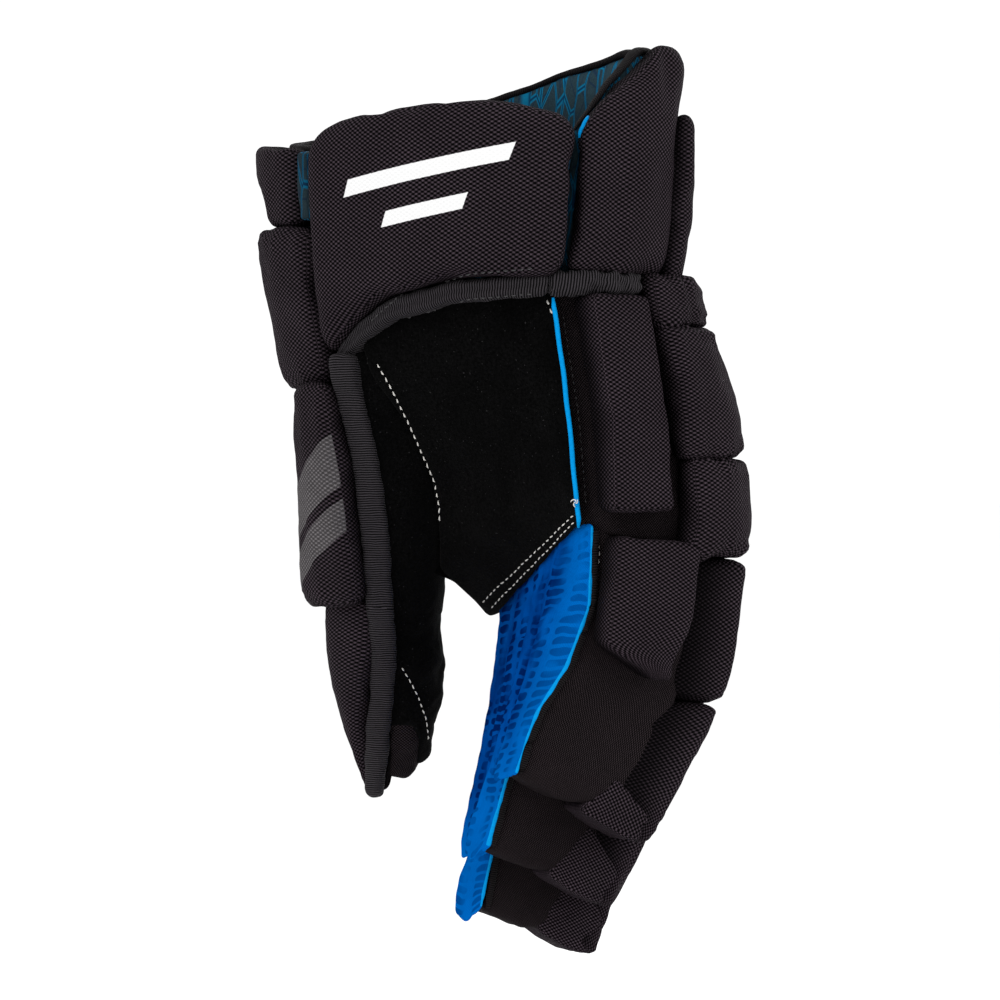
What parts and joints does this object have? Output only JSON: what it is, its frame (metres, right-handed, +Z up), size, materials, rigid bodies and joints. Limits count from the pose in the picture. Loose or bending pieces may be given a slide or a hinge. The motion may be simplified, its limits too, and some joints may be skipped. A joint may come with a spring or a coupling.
{
  "type": "ice hockey glove",
  "caption": "Padded player's hockey glove for the right hand: hollow cuff with a folding palm flap, foam rolls over the back, curling fingers and a jointed thumb",
  "frame": {"origin": "the middle of the cuff opening, where the wrist goes in", "axes": "+Z up the forearm, out of the cuff, so the fingers point down; +X towards the little-finger side; +Y away from the palm side of the cuff"},
  "size_m": [0.182, 0.1477, 0.3377],
  "materials": {
    "mesh": "coarse black air mesh over foam",
    "suede": "black synthetic suede",
    "blue_mesh": "bright blue mesh with a darker print",
    "piping": "cyan edge piping",
    "lining": "slate brushed lining",
    "tape": "charcoal ribbed binding tape",
    "insert": "moulded polyethylene sheet"
  },
  "bodies": {
    "hand": {"back_roll_1": "mesh", "back_roll_2": "mesh", "hand_back_plate": "insert", "hand_liner": "lining", "palm_panel": "suede", "palm_piping": "piping", "radial_panel": "mesh", "side_pad_upper": "mesh", "side_panel": "mesh", "thumb_web": "suede", "wrist_gaiter": "mesh", "wrist_roll": "mesh"},
    "cuff": {"cuff_back_roll": "mesh", "cuff_liner": "lining", "cuff_pad": "mesh", "cuff_thumb_roll": "mesh", "cuff_top_binding": "tape", "cuff_wing_binding": "tape"},
    "flap": {"flap_binding": "tape", "flap_liner": "lining", "flap_pad": "mesh", "flap_plate": "insert"},
    "thumb_upper": {"thumb_binding_upper": "tape", "thumb_pad_upper": "mesh", "thumb_palm_upper": "suede", "thumb_plate": "insert"},
    "thumb_lower": {"thumb_binding_lower": "tape", "thumb_pad_lower": "mesh", "thumb_palm_lower": "suede", "thumb_tip_cap": "mesh"},
    "pinky_1": {"pinky_palm_1": "blue_mesh", "pinky_roll_1": "mesh", "pinky_wall_1": "mesh", "side_pad_lower": "mesh"},
    "pinky_2": {"pinky_palm_2": "blue_mesh", "pinky_roll_2": "mesh", "pinky_tip_cap": "mesh", "pinky_wall_2": "mesh"},
    "ring_1": {"ring_palm_1": "blue_mesh", "ring_roll_1": "mesh", "ring_wall_1": "mesh"},
    "ring_2": {"ring_palm_2": "blue_mesh", "ring_roll_2": "mesh", "ring_tip_cap": "mesh", "ring_wall_2": "mesh"},
    "middle_1": {"middle_palm_1": "blue_mesh", "middle_roll_1": "mesh", "middle_wall_1": "mesh"},
    "middle_2": {"middle_palm_2": "blue_mesh", "middle_roll_2": "mesh", "middle_tip_cap": "mesh", "middle_wall_2": "mesh"},
    "index_1": {"index_palm_1": "blue_mesh", "index_roll_1": "mesh", "index_wall_1": "mesh"},
    "index_2": {"index_palm_2": "blue_mesh", "index_roll_2": "mesh", "index_tip_cap": "mesh", "index_wall_2": "mesh"}
  },
  "joints": [
    {"name": "cuff_flex", "type": "hinge", "parent": "hand", "child": "cuff", "pos_m": [0.061, 0.04, -0.05], "axis": [-0.6428, 0.766, 0], "range_deg": [0, 15], "stiffness_Nm_per_rad": 1.5, "springref_deg": -5.73},
    {"name": "flap_open", "type": "hinge", "parent": "hand", "child": "flap", "pos_m": [-0.015, -0.03205, -0.073], "axis": [0.7764, -0.5361, 0.3315], "range_deg": [0, 30], "stiffness_Nm_per_rad": 0.4, "springref_deg": -5.73},
    {"name": "thumb_base", "type": "hinge", "parent": "hand", "child": "thumb_upper", "pos_m": [-0.07158, 0.00985, -0.089], "axis": [0, 1, 0], "range_deg": [0, 15], "stiffness_Nm_per_rad": 1, "springref_deg": -5.73},
    {"name": "thumb_tip", "type": "hinge", "parent": "thumb_upper", "child": "thumb_lower", "pos_m": [-0.012, 0.042, -0.171], "axis": [0, -1, 0], "range_deg": [0, 15], "stiffness_Nm_per_rad": 0.6, "springref_deg": -5.73},
    {"name": "pinky_knuckle", "type": "hinge", "parent": "hand", "child": "pinky_1", "pos_m": [0.03064, -0.03237, -0.145], "axis": [-0.309, 0.9511, 0], "range_deg": [0, 35], "stiffness_Nm_per_rad": 0.8, "springref_deg": -2.86},
    {"name": "pinky_middle_joint", "type": "hinge", "parent": "pinky_1", "child": "pinky_2", "pos_m": [0.01828, -0.03639, -0.198], "axis": [-0.309, 0.9511, 0], "range_deg": [0, 45], "stiffness_Nm_per_rad": 0.5, "springref_deg": -2.86},
    {"name": "ring_knuckle", "type": "hinge", "parent": "hand", "child": "ring_1", "pos_m": [0.02353, -0.0105, -0.1525], "axis": [-0.309, 0.9511, 0], "range_deg": [0, 35], "stiffness_Nm_per_rad": 0.8, "springref_deg": -2.86},
    {"name": "ring_middle_joint", "type": "hinge", "parent": "ring_1", "child": "ring_2", "pos_m": [0.01307, -0.0139, -0.204], "axis": [-0.309, 0.9511, 0], "range_deg": [0, 45], "stiffness_Nm_per_rad": 0.5, "springref_deg": -2.86},
    {"name": "middle_knuckle", "type": "hinge", "parent": "hand", "child": "middle_1", "pos_m": [0.01643, 0.01137, -0.16], "axis": [-0.309, 0.9511, 0], "range_deg": [0, 30], "stiffness_Nm_per_rad": 0.8, "springref_deg": -2.86},
    {"name": "middle_middle_joint", "type": "hinge", "parent": "middle_1", "child": "middle_2", "pos_m": [0.00882, 0.0089, -0.21], "axis": [-0.309, 0.9511, 0], "range_deg": [0, 45], "stiffness_Nm_per_rad": 0.5, "springref_deg": -2.86},
    {"name": "index_knuckle", "type": "hinge", "parent": "hand", "child": "index_1", "pos_m": [0.00932, 0.03325, -0.168], "axis": [-0.309, 0.9511, 0], "range_deg": [0, 25], "stiffness_Nm_per_rad": 0.8, "springref_deg": -2.86},
    {"name": "index_middle_joint", "type": "hinge", "parent": "index_1", "child": "index_2", "pos_m": [0.00456, 0.0317, -0.213], "axis": [-0.309, 0.9511, 0], "range_deg": [0, 45], "stiffness_Nm_per_rad": 0.5, "springref_deg": -2.86}
  ]
}
